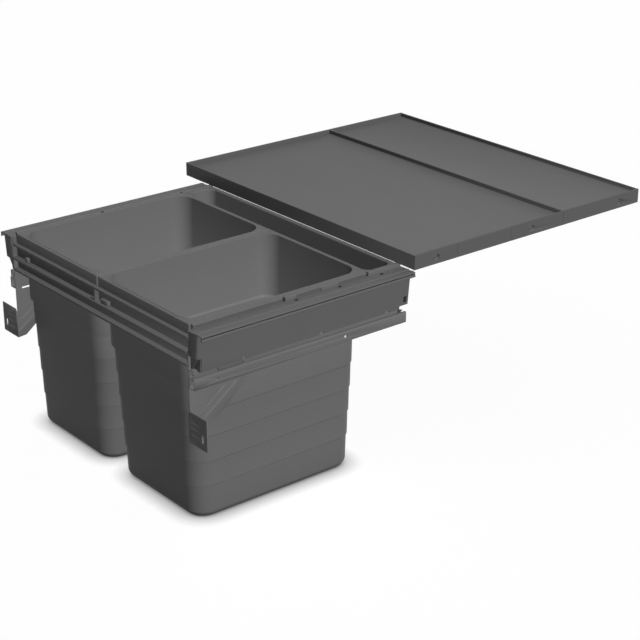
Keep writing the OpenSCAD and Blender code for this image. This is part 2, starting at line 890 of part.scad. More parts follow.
module lever_pins() {
    foot = lever_top - lever_h - clear - pin_head_h;
    color([0.6, 0.6, 0.6]) for (side = [-1, 1]) sided(side) {
        translate([lever_x, lever_y, foot]) {
            cylinder(r = pin_head_r, h = pin_head_h);
            cylinder(r = pin_r, h = floor_z - foot);
        }
    }
}

lid_front_tray();
lid_rear_tray();
lid_rail(-1);  // lid_left_rail
lid_rail(1);  // lid_right_rail
lid_bushes();
side_wall(-1);  // left_side_wall
side_wall(1);  // right_side_wall
front_cap(-1);  // left_front_cap
front_cap(1);  // right_front_cap
front_rail();
front_catch();
rear_rail();
carrier_frame();
strip(-1);  // left_strip
strip(1);  // right_strip
frame_screws();
rear_tray();
bin(-1);  // left_bin
bin(1);  // right_bin
bag_ring(-1);  // left_bag_ring
bag_ring(1);  // right_bag_ring
front_bracket(-1);  // left_front_bracket
front_bracket(1);  // right_front_bracket
bracket_screws();
drawer_rail(-1);  // left_drawer_rail
drawer_rail(1);  // right_drawer_rail
middle_rail(-1);  // left_middle_rail
middle_rail(1);  // right_middle_rail
cabinet_rail(-1);  // left_cabinet_rail
cabinet_rail(1);  // right_cabinet_rail
lower_cage(-1);  // left_lower_cage
lower_cage(1);  // right_lower_cage
upper_cage(-1);  // left_upper_cage
upper_cage(1);  // right_upper_cage
release_lever(-1);  // left_release_lever
release_lever(1);  // right_release_lever
lever_pins();
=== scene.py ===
import math

import bmesh
import bpy
from mathutils import Matrix, Vector


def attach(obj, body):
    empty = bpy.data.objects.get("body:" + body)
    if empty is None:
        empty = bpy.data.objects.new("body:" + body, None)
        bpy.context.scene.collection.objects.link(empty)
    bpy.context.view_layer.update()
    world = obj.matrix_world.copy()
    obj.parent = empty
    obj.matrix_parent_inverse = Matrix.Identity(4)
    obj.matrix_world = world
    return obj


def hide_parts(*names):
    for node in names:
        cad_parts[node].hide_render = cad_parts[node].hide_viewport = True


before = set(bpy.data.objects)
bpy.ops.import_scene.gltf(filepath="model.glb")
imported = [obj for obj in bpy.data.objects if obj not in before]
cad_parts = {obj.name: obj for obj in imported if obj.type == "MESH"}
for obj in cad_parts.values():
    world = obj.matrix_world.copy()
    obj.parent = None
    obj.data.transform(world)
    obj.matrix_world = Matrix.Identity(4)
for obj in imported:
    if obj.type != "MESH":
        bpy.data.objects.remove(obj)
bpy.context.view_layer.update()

# Studio. The pull-out unit stands on a pale seamless floor under one broad lamp from the upper
# right, with weak fills from the front and the rear left. The lens stands to the front right.
scene = bpy.context.scene
scene.view_settings.view_transform = "Standard"


def linear(code):
    """An sRGB hex value as a linear colour."""
    parts = [int(code[i:i + 2], 16) / 255 for i in (1, 3, 5)]
    return [c / 12.92 if c <= 0.04045 else ((c + 0.055) / 1.055) ** 2.4 for c in parts] + [1.0]


def add(tree, kind, inputs=None, **settings):
    """Adds a node, with its settings and the values or links of its sockets."""
    node = tree.nodes.new("ShaderNode" + kind)
    for name, value in settings.items():
        setattr(node, name, value)
    for socket, value in (inputs or {}).items():
        if isinstance(value, bpy.types.NodeSocket):
            tree.links.new(value, node.inputs[socket])
        else:
            node.inputs[socket].default_value = value
    return node


def seen_directly(tree):
    """1 for rays from the lens and for mirrored or passed ones, 0 for the others."""
    path = add(tree, "LightPath").outputs
    either = add(tree, "Math", {0: path["Is Camera Ray"], 1: path["Is Glossy Ray"]}, operation="MAXIMUM")
    seen = add(tree, "Math", {0: either.outputs[0], 1: path["Is Transmission Ray"]}, operation="MAXIMUM")
    return seen.outputs[0]


room_level = 0.05
room = bpy.data.worlds.new("room")
room.use_nodes = True
tree = room.node_tree
tree.nodes.clear()
strength = add(tree, "MapRange", {"Value": seen_directly(tree), "To Min": room_level, "To Max": 1.0})
glow = add(tree, "Background", {"Color": linear("#FFFFFF"), "Strength": strength.outputs[0]})
add(tree, "OutputWorld", {"Surface": glow.outputs[0]})
scene.world = room

# The floor is written pale for the lens and darker for the light that it throws back
floor_white = "#E8E8E8"
floor_bounce = "#3C3C3C"
floor_lift = 0.215
floor_reach = 14.0
paper = bpy.data.materials.new("floor_paper")
paper.use_nodes = True
tree = paper.node_tree
tree.nodes.clear()
direct = seen_directly(tree)
# The contact shadow fades within 30 mm of what stands on the paper
shadow = add(tree, "AmbientOcclusion", {"Distance": 0.03}, samples=12)
lit = add(tree, "Mix", {0: direct, "A": linear(floor_bounce), "B": linear(floor_white)}, data_type="RGBA")
base = add(
    tree, "Mix", {0: 1.0, "A": lit.outputs["Result"], "B": shadow.outputs["Color"]},
    data_type="RGBA", blend_type="MULTIPLY")
lift = add(tree, "Math", {0: direct, 1: shadow.outputs["AO"]}, operation="MULTIPLY")
raised = add(tree, "Math", {0: lift.outputs[0], 1: floor_lift}, operation="MULTIPLY")
sheet = add(tree, "BsdfPrincipled", {
    "Base Color": base.outputs["Result"], "Roughness": 0.9, "Specular IOR Level": 0.0,
    "Emission Color": linear("#FFFFFF"), "Emission Strength": raised.outputs[0]})
add(tree, "OutputMaterial", {"Surface": sheet.outputs[0]})
floor_mesh = bpy.data.meshes.new("floor")
floor_corners = [(u * floor_reach, v * floor_reach, 0) for u, v in ((-1, -1), (1, -1), (1, 1), (-1, 1))]
floor_mesh.from_pydata(floor_corners, [], [(0, 1, 2, 3)])
floor_mesh.materials.append(paper)
floor = bpy.data.objects.new("floor", floor_mesh)
scene.collection.objects.link(floor)

# Name, direction, level, and whether glossy surfaces mirror it
lamps = (
    ("lamp_right", (0.75, -0.06, 0.65), 1.33, True),
    ("fill_front", (0.1, -1.0, 0.1), 0.11, False),
    ("fill_rear_left", (-0.7, 0.7, 0.1), 0.3, False))
for name, source, level, mirrored in lamps:
    lamp = bpy.data.lights.new(name, "SUN")
    # A sun of strength pi lights a white surface that faces it to 1
    lamp.energy = level * math.pi
    lamp.angle = math.radians(8.0)
    lamp.use_shadow = False
    lamp.cycles.cast_shadow = False
    stand = bpy.data.objects.new(name, lamp)
    stand.rotation_euler = Vector(source).to_track_quat("Z", "Y").to_euler()
    stand.visible_glossy = mirrored
    scene.collection.objects.link(stand)

lens = bpy.data.cameras.new("lens")
lens.sensor_width = 36.0
lens.lens = 95.77
camera = bpy.data.objects.new("camera", lens)
heading, look_down, roll = 51.057, 22.812, -0.112
turn = Matrix.Rotation(math.radians(heading), 4, "Z") @ Matrix.Rotation(math.radians(90 - look_down), 4, "X")
stand_point = Matrix.Translation((1.9411, -1.5698, 1.1824))
camera.matrix_world = stand_point @ turn @ Matrix.Rotation(math.radians(roll), 4, "Z")
scene.collection.objects.link(camera)
scene.camera = camera

# Cabinet rails. The fixed lower channels of the runners: roll-formed steel strip with inturned
# lips, powder coated in matt grey and screwed to the cabinet's sides through two holes.


def coated_steel(name, code, roughness):
    """Powder coat: a melted film whose orange peel softens the lamp's reflection."""
    material = bpy.data.materials.new(name)
    material.use_nodes = True
    tree = material.node_tree
    tree.nodes.clear()
    place = add(tree, "TexCoord").outputs["Object"]
    # Orange peel of about 1 mm, drawn at 2.5 mm so that it shows
    peel = add(tree, "TexNoise", {"Vector": place, "Scale": 1 / 0.0025, "Detail": 2.0, "Roughness": 0.4})
    # Cloudiness of the film over about 60 mm
    cloud = add(tree, "TexNoise", {"Vector": place, "Scale": 1 / 0.06, "Detail": 3.0})
    shade = linear(code)
    tint = add(tree, "ValToRGB", {"Fac": cloud.outputs["Fac"]})
    for stop, share in zip(tint.color_ramp.elements, (0.95, 1.05)):
        stop.color = [c * share for c in shade[:3]] + [1.0]
    gloss = add(tree, "MapRange", {
        "Value": peel.outputs["Fac"], "To Min": roughness - 0.05, "To Max": roughness + 0.05})
    relief = add(tree, "Bump", {"Height": peel.outputs["Fac"], "Strength": 0.12, "Distance": 0.0002})
    film = add(tree, "BsdfPrincipled", {
        "Base Color": tint.outputs[0], "Roughness": gloss.outputs[0], "IOR": 1.5, "Specular IOR Level": 0.07,
        "Normal": relief.outputs[0]})
    add(tree, "OutputMaterial", {"Surface": film.outputs[0]})
    return material


rail_coat = coated_steel("powder_coated_rail_steel", "#636363", 0.5)


def fitted(piece, body, slot, *nodes):
    """Puts a piece on its body and hides the nodes that it stands for; the slot is not used."""
    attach(piece, body)
    if nodes:
        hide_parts(*nodes)
    return piece


def eased(node, radius, material, body, slot, segments=2, flat=False):
    """The node's solid with its edges eased by a small radius."""
    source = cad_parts[node]
    mesh = source.data.copy()
    mesh.transform(source.matrix_world)
    mesh.materials.clear()
    mesh.materials.append(material)
    solid = bmesh.new()
    solid.from_mesh(mesh)
    # Facets that lie in one plane become one face, so that only real edges are eased
    bmesh.ops.remove_doubles(solid, verts=solid.verts, dist=2e-5)
    bmesh.ops.dissolve_limit(solid, angle_limit=math.radians(1.0), verts=solid.verts, edges=solid.edges)
    for face in solid.faces:
        face.material_index = 0
        face.smooth = True
    solid.to_mesh(mesh)
    solid.free()
    rough = bpy.data.objects.new("rough_" + node, mesh)
    scene.collection.objects.link(rough)
    bevel = rough.modifiers.new("eased edges", "BEVEL")
    bevel.width = radius / 1000
    bevel.segments = segments
    bevel.limit_method = "ANGLE"
    bevel.angle_limit = math.radians(30)
    bevel.harden_normals = not flat
    bevel.use_clamp_overlap = False
    made = bpy.data.meshes.new_from_object(rough.evaluated_get(bpy.context.evaluated_depsgraph_get()))
    if flat:
        made.shade_flat()
    bpy.data.objects.remove(rough)
    piece = bpy.data.objects.new(node + "_eased", made)
    scene.collection.objects.link(piece)
    return fitted(piece, body, slot, node)


for side in ("left", "right"):
    eased(side + "_cabinet_rail", 0.35, rail_coat, "cabinet_rails", "rail_metal")

# Roller cages. Moulded acetal strips that hold acetal rollers in pockets, loose between the rails:
# they carry the drawer and roll along at a quarter and at three quarters of its travel.


def moulded(name, code, roughness, ior, grain, relief_mm, specular):
    """A moulded plastic: an eroded or polished mould leaves an even grain, and the flow of the
    melt faint clouds in the colour."""
    material = bpy.data.materials.new(name)
    material.use_nodes = True
    tree = material.node_tree
    tree.nodes.clear()
    place = add(tree, "TexCoord").outputs["Object"]
    # The grain of a few tenths of a millimetre is drawn 1.2 to 1.6 mm wide so that it shows
    pits = add(tree, "TexNoise", {"Vector": place, "Scale": 1000 / grain, "Detail": 3.0, "Roughness": 0.55})
    # Clouds of about 90 mm
    flow = add(tree, "TexNoise", {"Vector": place, "Scale": 1 / 0.09, "Detail": 2.0})
    shade = linear(code)
    tint = add(tree, "ValToRGB", {"Fac": flow.outputs["Fac"]})
    for stop, share in zip(tint.color_ramp.elements, (0.96, 1.04)):
        stop.color = [c * share for c in shade[:3]] + [1.0]
    gloss = add(tree, "MapRange", {
        "Value": pits.outputs["Fac"], "To Min": roughness - 0.06, "To Max": roughness + 0.06})
    relief = add(tree, "Bump", {"Height": pits.outputs["Fac"], "Strength": 0.2, "Distance": relief_mm / 1000})
    surface = add(tree, "BsdfPrincipled", {
        "Base Color": tint.outputs[0], "Roughness": gloss.outputs[0], "IOR": ior,
        "Specular IOR Level": specular, "Normal": relief.outputs[0]})
    add(tree, "OutputMaterial", {"Surface": surface.outputs[0]})
    return material


def repaint(node, material):
    """A node whose shape is right keeps its solid and gets the material."""
    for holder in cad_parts[node].material_slots:
        holder.material = material


# Natural acetal from a polished mould: milky white, with a waxy shine
natural_acetal = moulded(
    "natural_acetal_polished_mould", "#D9D7CF", roughness=0.32, ior=1.48,
    grain=1.5, relief_mm=0.02, specular=0.5)
for side in ("left", "right"):
    for cage in ("lower", "upper"):
        repaint(side + "_" + cage + "_cage", natural_acetal)

# Middle rails. The telescoping members, caught by the lips of the channels over and under them:
# cold-rolled steel, drawn dull dark grey as painted shade for the shade inside the channels.
painted_shade = coated_steel("painted_shade_rail_steel", "#3A3A3A", 0.6)
for side in ("left", "right"):
    eased(side + "_middle_rail", 0.15, painted_shade, "middle_rails", "middle_metal", segments=1)

# Drawer rails. The upper channels, open downward, are screwed under the side profiles' floors
# and are of the same coated strip as the cabinet rails.
for side in ("left", "right"):
    eased(side + "_drawer_rail", 0.3, rail_coat, "drawer", "rail_metal")

# Side walls. Hollow profiles of powder-coated sheet steel that stand on the drawer rails: a broad
# wing with pressed lines and a rolled outer edge covers the runner, and the outer leg leans
# inward down to half-round scoops in its lower edge.
wall_coat = coated_steel("powder_coated_wall_steel", "#5B5B5B", 0.55)
front_edge_y, wing_top_z = 412.5, 303


def at(x, y, z):
    """A place in the shared frame from millimetres to the right of the middle, behind the
    wings' front edge and over the wings' top."""
    return Vector((x / 1000, (y - front_edge_y) / 1000, (z + wing_top_z) / 1000))


def rounded(corners):
    """A closed outline from corners (u, v, radius), each rounded toward its neighbours."""
    steps = 4
    points = []
    for i, (u, v, r) in enumerate(corners):
        here = Vector((u, v))
        if r == 0:
            points.append(here)
            continue
        before = Vector(corners[i - 1][:2]) - here
        after = Vector(corners[(i + 1) % len(corners)][:2]) - here
        start = here + before.normalized() * min(r, before.length / 2)
        end = here + after.normalized() * min(r, after.length / 2)
        for k in range(steps + 1):
            t = k / steps
            points.append((1 - t) ** 2 * start + 2 * t * (1 - t) * here + t * t * end)
    return points


def finished(name, body, material, sharp):
    """A smooth-shaded object from a bmesh, creased where its faces meet at a sharp angle."""
    bmesh.ops.recalc_face_normals(body, faces=body.faces)
    for face in body.faces:
        face.smooth = True
    mesh = bpy.data.meshes.new(name)
    body.to_mesh(mesh)
    body.free()
    mesh.materials.append(material)
    mesh.set_sharp_from_angle(angle=math.radians(sharp))
    piece = bpy.data.objects.new(name, mesh)
    scene.collection.objects.link(piece)
    return piece


def prism(name, points, axis, low, high, material, mirror=1):
    """A solid drawn out along X or Y from an outline in the two other axes."""
    spot = {"x": lambda u, v, w: at(mirror * w, u, v), "y": lambda u, v, w: at(mirror * u, w, v)}[axis]
    body = bmesh.new()
    near, far = [[body.verts.new(spot(u, v, w)) for u, v in points] for w in (low, high)]
    for i in range(len(points)):
        j = (i + 1) % len(points)
        body.faces.new((near[i], near[j], far[j], far[i]))
    for loop in (near, far):
        edges = [body.edges.get((loop[i], loop[(i + 1) % len(loop)])) for i in range(len(loop))]
        bmesh.ops.triangle_fill(body, use_beauty=True, edges=edges)
    return finished(name, body, material, 30)


def slab(x, y, z, material, mirror=1):
    """A cutter between two places on each axis."""
    corners = [(y[0], z[0]), (y[1], z[0]), (y[1], z[1]), (y[0], z[1])]
    return prism("cutter", corners, "x", x[0], x[1], material, mirror)


def disc(u, v, radius):
    """A circle's outline."""
    steps = 24
    angles = [2 * math.pi * i / steps for i in range(steps)]
    return [(u + radius * math.cos(a), v + radius * math.sin(a)) for a in angles]


def applied(piece):
    """Turns the piece's modifiers into mesh."""
    made = bpy.data.meshes.new_from_object(piece.evaluated_get(bpy.context.evaluated_depsgraph_get()))
    piece.modifiers.clear()
    piece.data = made
    return piece


def carved(piece, cutters):
    """Cuts solids out of the piece."""
    for cutter in cutters:
        cut = piece.modifiers.new("cut", "BOOLEAN")
        cut.object = cutter
        cut.solver = "EXACT"
        # Eased corners overlap themselves a little, and a cut that isn't told empties the piece
        cut.use_self = True
    applied(piece)
    for cutter in cutters:
        bpy.data.objects.remove(cutter)
    piece.data.set_sharp_from_angle(angle=math.radians(30))
    return piece


def leg_x(z):
    """Outer face of the leaning leg."""
    return 254 + 6 * z / 58.5


# The left pieces are the mirror image of the right ones
sides = ((-1, "left"), (1, "right"))
sheet_t = 1.5
leg_foot_z = -58.5
profile_end = 373.4
wall_outer = rounded([
    (231.6, -0.4, 0.2), (231.6, -14, 0), (231.2, -14, 0), (231.2, -56, 0.8),
    (leg_x(-56) - sheet_t, -56, 0), (leg_x(leg_foot_z) - sheet_t, leg_foot_z, 0),
    (leg_x(leg_foot_z), leg_foot_z, 0.5), (leg_x(-1.6), -1.6, 0), (262.3, -1.6, 0),
    # Rolled outer edge with the narrow gap under it
    (262.3, -7.6, 0.3), (263.6, -7.9, 0.5), (264.4, -7.2, 0.6), (264.2, -4.6, 0.3), (262.0, -4.0, 0),
    (264.2, -1.6, 0.3), (264.2, -0.9, 0.7), (263.2, -0.3, 0.8),
    # Pressed lines of the wing
    (256.9, 0.6, 0.8), (254.4, -0.5, 0.3), (251.2, -0.2, 0.4), (249.0, 0.8, 0.4), (246.5, 0.0, 1.0),
    (238.5, -0.1, 1.5)])
wall_hollow = [
    (233.2, -2.6), (252.3, -1.8), (leg_x(-54.5) - sheet_t, -54.5), (232.7, -54.5), (232.7, -15.5),
    (233.2, -15.5)]
# What is cut away, as spans in X, Y and Z: room for the cap, nose, tail, and a slot near the tail
wall_cuts = (
    ((230, 255), (-1, 2), (-70, -2.2)),
    ((230, 255), (-1, 9), (-70, -36.8)),
    ((230, 255), (358, 375), (-70, -54)),
    ((246, 256), (364, 370), (-50, -40)))
scoop_y, scoop_r = (79.0, 214.0, 334.5), 4.4
for mirror, side in sides:
    wall = prism(side + "_wall_profile", wall_outer, "y", 0, profile_end, wall_coat, mirror)
    # The hollow stops before the tail, which is closed
    cuts = [prism("hollow", wall_hollow, "y", -1, profile_end - 1.9, wall_coat, mirror)]
    cuts += [slab(x, y, z, wall_coat, mirror) for x, y, z in wall_cuts]
    for y in scoop_y:
        rim = disc(y, leg_foot_z, scoop_r)
        cuts.append(prism("scoop", rim, "x", leg_x(leg_foot_z) - 1.9, 257, wall_coat, mirror))
    fitted(carved(wall, cuts), "drawer", "profile_metal", side + "_side_wall")

# Front caps. Moulded ABS plates, set in under the wings' front ends to close the profiles; behind each
# stand a sheet and a slanted wedge of the same moulding, put in as painted shade in the cut-away nose.
# ABS from an eroded mould: matt, with an even grain that spreads the lamp's reflection
frame_abs = moulded(
    "grained_abs_frame", "#575757", roughness=0.55, ior=1.52,
    grain=1.4, relief_mm=0.05, specular=0.06)


def softened(piece, radius, segments=2):
    """Rounds the piece's sharp edges."""
    bevel = piece.modifiers.new("eased edges", "BEVEL")
    bevel.width = radius / 1000
    bevel.segments = segments
    bevel.limit_method = "ANGLE"
    bevel.angle_limit = math.radians(40)
    bevel.harden_normals = True
    return applied(piece)


# Painted shade: the sheet and the wedge fill the nose's shaded pocket, and their faces, turned from the
# lamps, show it dark
shade_sheet_front, shade_sheet_back, shade_wedge_front = 6.8, 8.6, 2.2
shade_sheet_shape = [(233.2, -58), (247.9, -58), (249.9, -37.4), (233.2, -37.4)]
shade_wedge_shape = [(233.2, -58), (247.0, -38.5), (247.0, -37.4), (233.2, -37.4)]
for mirror, side in sides:
    eased(side + "_front_cap", 0.5, frame_abs, "drawer", "frame_plastic")
    shade_sheet = prism(side + "_cap_shade_sheet", shade_sheet_shape, "y", shade_sheet_front, shade_sheet_back, frame_abs, mirror)
    fitted(softened(shade_sheet, 0.4), "drawer", "frame_plastic")
    shade_wedge = prism(side + "_cap_shade_wedge", shade_wedge_shape, "y", shade_wedge_front, shade_sheet_front, frame_abs, mirror)
    fitted(softened(shade_wedge, 0.3), "drawer", "frame_plastic")

# Carrier frame. A frame moulded of ABS that lies on the steps of the profiles' inner legs; the
# lips of the bins and the trough's rim hang on its ledge.
eased("carrier_frame", 0.4, frame_abs, "drawer", "frame_plastic")

# Front rail. A cross rail moulded of ABS and held between the profiles, with three forward
# flanges, a post in its middle, a catch block beside it and a small tab near its left end.
eased("front_rail", 0.3, frame_abs, "drawer", "frame_plastic")
# A finer grain leaves the catch a little smoother than the rail
catch_abs = moulded(
    "fine_grained_abs_catch", "#5C5C5C", roughness=0.5, ior=1.52,
    grain=1.2, relief_mm=0.04, specular=0.06)
eased("front_catch", 0.8, catch_abs, "drawer", "trim_plastic", segments=3)

# Rear rail. An upright ABS moulding between the rear ends of the profiles, which closes the
# drawer behind the trough and turns its foot forward under it.
eased("rear_rail", 0.5, frame_abs, "drawer", "frame_plastic")

# Strips. Moulded ABS strips clipped on the profiles beside the bins, each in three lengths with a
# gap between them; their outer faces are undercut except at the lugs before the wing's screws.
# Grained as the frame, a little paler and smoother
trim_abs = moulded(
    "grained_abs_trim", "#606060", roughness=0.52, ior=1.52,
    grain=1.4, relief_mm=0.05, specular=0.06)
strip_section = rounded([
    (227.6, -10, 0), (227.6, 5.7, 0.7), (234.0, 4.8, 0.5), (231.3, -1.1, 0), (231.3, -10, 0)])
lug_section = rounded([(229, -0.4, 0), (229, 5.3, 0), (234.1, 4.7, 0.5), (233.9, -0.4, 0)])
rear_face = 371.4
strip_spans = ((8.3, 157.8), (161.6, 308.0), (310.8, rear_face))
lug_spans = ((161.6, 180.0), (225.0, 256.0), (310.8, rear_face))
kinds = (("strip", strip_section, strip_spans), ("strip_lug", lug_section, lug_spans))
for mirror, side in sides:
    for kind, section, spans in kinds:
        for i, (start, end) in enumerate(spans):
            name = "%s_%s_%d" % (side, kind, i + 1)
            piece = softened(prism(name, section, "y", start, end, trim_abs, mirror), 1.2, 3)
            stands_for = [side + "_strip"] if (kind, i) == ("strip", 0) else []
            fitted(piece, "drawer", "trim_plastic", *stands_for)

# Storage trough. A deep ABS tray in one moulding; its rim lies on the frame's ledge behind the
# bins, and its mouth has a rounded inner edge.
trough_x = 227.0
trough_y = rear_face - 57.8
# Set-back of the mouth from the rim at its ends, front and rear, and the mouth's corners
mouth_end, mouth_front, mouth_rear, mouth_r = 3, 5, 7.9, 16.5


def outline(x0, y0, x1, y1, r):
    """A rectangle with rounded corners, anticlockwise."""
    steps = 10
    points = []
    corners = ((x1 - r, y0 + r, -90), (x1 - r, y1 - r, 0), (x0 + r, y1 - r, 90), (x0 + r, y0 + r, 180))
    for cx, cy, start in corners:
        for i in range(steps + 1):
            a = math.radians(start + 90 * i / steps)
            points.append((cx + r * math.cos(a), cy + r * math.sin(a)))
    return points


def eased_levels(plan, start, corner, end, steps=4):
    """Levels along a rounded edge: plan(grow) is the outline, and start, corner and end are pairs
    of grow and height."""
    levels = []
    for i in range(steps + 1):
        t = i / steps
        grow, z = (
            (1 - t) ** 2 * a + 2 * t * (1 - t) * b + t * t * c for a, b, c in zip(start, corner, end))
        levels.append((plan(grow), z))
    return levels


def lofted(name, levels, material, mirror=1, loop=False, sharp=40):
    """A skin over a stack of outlines, closed by caps or from the last level to the first."""
    count = len(levels[0][0])
    shell = bmesh.new()
    rows = [[shell.verts.new(at(mirror * x, y, z)) for x, y in points] for points, z in levels]
    for k in range(len(rows) if loop else len(rows) - 1):
        below, above = rows[k], rows[(k + 1) % len(rows)]
        for i in range(count):
            j = (i + 1) % count
            shell.faces.new((below[i], below[j], above[j], above[i]))
    if not loop:
        shell.faces.new(rows[0][::-1])
        shell.faces.new(rows[-1])
    bmesh.ops.remove_doubles(shell, verts=shell.verts, dist=1e-6)
    return finished(name, shell, material, sharp)


def trough_mouth(grow):
    """The mouth's outline, grown outward."""
    return outline(
        mouth_end - trough_x - grow, trough_y + mouth_front - grow,
        trough_x - mouth_end + grow, rear_face - mouth_rear + grow, mouth_r + grow)


def trough_rim(grow):
    """The rim's outer edge, grown outward."""
    return outline(-trough_x - grow, trough_y - grow, trough_x + grow, rear_face + grow, 3 + grow)


trough_levels = (
    eased_levels(trough_mouth, (-4, -48), (0.1, -48), (0.1, -44))
    + [(trough_mouth(1.6), -10), (trough_rim(0), -10)]
    + eased_levels(trough_rim, (0, 2), (0, 3), (-1, 3), 3)
    + eased_levels(trough_mouth, (2.2, 3), (0, 3), (0, 0.8), 5)
    + eased_levels(trough_mouth, (-1.4, -41), (-1.5, -46.4), (-7, -46.4), 5))
fitted(lofted("storage_trough", trough_levels, trim_abs), "drawer", "trim_plastic", "rear_tray")

# Screws. Pan-head steel screws with a cross recess: three with a dark zinc plate on each wing, and
# two bright ones that hold each door bracket to its drawer rail.
# Dark passivated zinc: a thin film, nearly black, with a soft gleam
dark_zinc = coated_steel("dark_zinc_screw_steel", "#2C2C2C", 0.4)
# Bright zinc plate: the gleam of a metal, streaked by the lines of the drawn wire
plated = bpy.data.materials.new("zinc_plated_steel")
plated.use_nodes = True
tree = plated.node_tree
tree.nodes.clear()
place = add(tree, "TexCoord").outputs["Object"]
# The lines of a few hundredths of a millimetre are drawn 1.5 mm apart so that they show
stretched = add(tree, "Mapping", {"Vector": place, "Scale": (1 / 0.0015, 1 / 0.08, 1 / 0.0015)})
lines = add(tree, "TexNoise", {"Vector": stretched.outputs[0], "Scale": 1.0, "Detail": 3.0})
spangle = add(tree, "ValToRGB", {"Fac": lines.outputs["Fac"]})
for stop, code in zip(spangle.color_ramp.elements, ("#A9ADB2", "#C6CACE")):
    stop.color = linear(code)
plate_gloss = add(tree, "MapRange", {"Value": lines.outputs["Fac"], "To Min": 0.28, "To Max": 0.42})
film = add(tree, "BsdfPrincipled", {
    "Base Color": spangle.outputs[0], "Metallic": 1.0, "Roughness": plate_gloss.outputs[0]})
add(tree, "OutputMaterial", {"Surface": film.outputs[0]})


def screw(name, head, shank, length, head_h, material):
    """A pan-head screw along +Z with its head's underside on Z = 0, in millimetres."""
    steps = 28
    angles = [2 * math.pi * i / steps for i in range(steps)]
    profile = [
        (shank, -length), (shank, 0), (head, 0), (head, head_h * 0.35),
        (head * 0.8, head_h * 0.85), (head * 0.5, head_h)]
    body = bmesh.new()
    rows = [[body.verts.new((r * math.cos(a) / 1000, r * math.sin(a) / 1000, z / 1000)) for a in angles]
            for r, z in profile]
    for k in range(len(rows) - 1):
        for i in range(steps):
            j = (i + 1) % steps
            body.faces.new((rows[k][i], rows[k][j], rows[k + 1][j], rows[k + 1][i]))
    body.faces.new(rows[0][::-1])
    # Cross recess: the top face is drawn with four arms and sunk
    arm, half = head * 0.42 / 1000, head * 0.12 / 1000
    top = head_h / 1000
    floor_z = top - head_h * 0.6 / 1000
    cross = [(arm, -half), (arm, half), (half, half), (half, arm), (-half, arm), (-half, half),
             (-arm, half), (-arm, -half), (-half, -half), (-half, -arm), (half, -arm), (half, -half)]
    upper = [body.verts.new((x, y, top)) for x, y in cross]
    lower = [body.verts.new((x * 0.7, y * 0.7, floor_z)) for x, y in cross]
    count = len(cross)
    edges = [body.edges.new((upper[i], upper[(i + 1) % count])) for i in range(count)]
    rim = [body.edges.get((rows[-1][i], rows[-1][(i + 1) % steps])) for i in range(steps)]
    bmesh.ops.triangle_fill(body, use_beauty=True, use_dissolve=False, edges=edges + rim)
    for i in range(count):
        j = (i + 1) % count
        body.faces.new((upper[i], upper[j], lower[j], lower[i]))
    body.faces.new(lower)
    return finished(name, body, material, 35)


# Where the heads lie: on the wing, and on the inner face of the bracket
wing_x, wing_z = 239.4, -0.15
bracket_x, bracket_z = 229.4, -42
for mirror, side in sides:
    for i, y in enumerate((176.5, 254.0, 331.0)):
        name = "wing_screw_%s_%d" % (side, i + 1)
        piece = screw(name, head=2.7, shank=1.4, length=6, head_h=1.2, material=dark_zinc)
        spot = Matrix.Translation(at(mirror * wing_x, y, wing_z))
        piece.matrix_world = spot @ Matrix.Rotation(0.5 + i, 4, "Z")
        fitted(piece, "drawer", "fastener_metal")
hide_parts("frame_screws")
for mirror, side in sides:
    for i, y in enumerate((30, 75)):
        name = "bracket_screw_%s_%d" % (side, i + 1)
        piece = screw(name, head=3.6, shank=2, length=7, head_h=1.8, material=plated)
        spot = Matrix.Translation(at(mirror * bracket_x, y, bracket_z))
        tip = Matrix.Rotation(math.radians(-90 * mirror), 4, "Y")
        piece.matrix_world = spot @ tip @ Matrix.Rotation(0.3 + i, 4, "Z")
        fitted(piece, "drawer", "fastener_metal")
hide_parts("bracket_screws")

# Door brackets. Pressed sheet steel, powder coated: a plate hangs from each profile, with two
# ribs and a tapering rear edge, and a bent-out tab with a slot carries the door's front.
bracket_coat = coated_steel("powder_coated_bracket_steel", "#626262", 0.55)


def tube(name, points, radius, material):
    """A round bar along a path of places, as a closed solid."""
    path = bpy.data.curves.new(name, "CURVE")
    path.dimensions = "3D"
    path.bevel_depth = radius / 1000
    path.bevel_resolution = 4
    path.use_fill_caps = True
    line = path.splines.new("POLY")
    line.points.add(len(points) - 1)
    for point, place in zip(line.points, points):
        point.co = (*place, 1.0)
    bar = bpy.data.objects.new(name + "_path", path)
    scene.collection.objects.link(bar)
    body = bmesh.new()
    body.from_mesh(bpy.data.meshes.new_from_object(bar.evaluated_get(bpy.context.evaluated_depsgraph_get())))
    bpy.data.objects.remove(bar)
    bmesh.ops.remove_doubles(body, verts=body.verts, dist=1e-6)
    return finished(name, body, material, 50)


# Paths of the ribs in Y and Z, from the bend up to the rear
rib_paths = (
    ((-1.0, -133.0), (7.0, -133.0), (11.0, -131.0), (59.7, -96.2)),
    ((-1.0, -151.0), (1.5, -151.0), (5.0, -149.2), (78.4, -96.1)))
slot_shape = rounded([
    (260.0, -153.6, 2.4), (260.0, -142.6, 2.4), (265.0, -142.6, 2.4), (265.0, -153.6, 2.4)])
groove_x, groove_r = 229.2, 1.6
rib_x, rib_r = 231.5, 1.0
for mirror, side in sides:
    plate = eased(side + "_front_bracket", 0.3, bracket_coat, "drawer", "bracket_metal")
    cuts = [prism("slot", slot_shape, "y", -4, 2, bracket_coat, mirror)]
    for line in rib_paths:
        cuts.append(tube("groove", [at(mirror * groove_x, y, z) for y, z in line], groove_r, bracket_coat))
    carved(plate, cuts)
    for i, line in enumerate(rib_paths):
        places = [at(mirror * rib_x, y, z) for y, z in line]
        rib = tube("%s_bracket_rib_%d" % (side, i + 1), places, rib_r, bracket_coat)
        fitted(rib, "drawer", "bracket_metal")

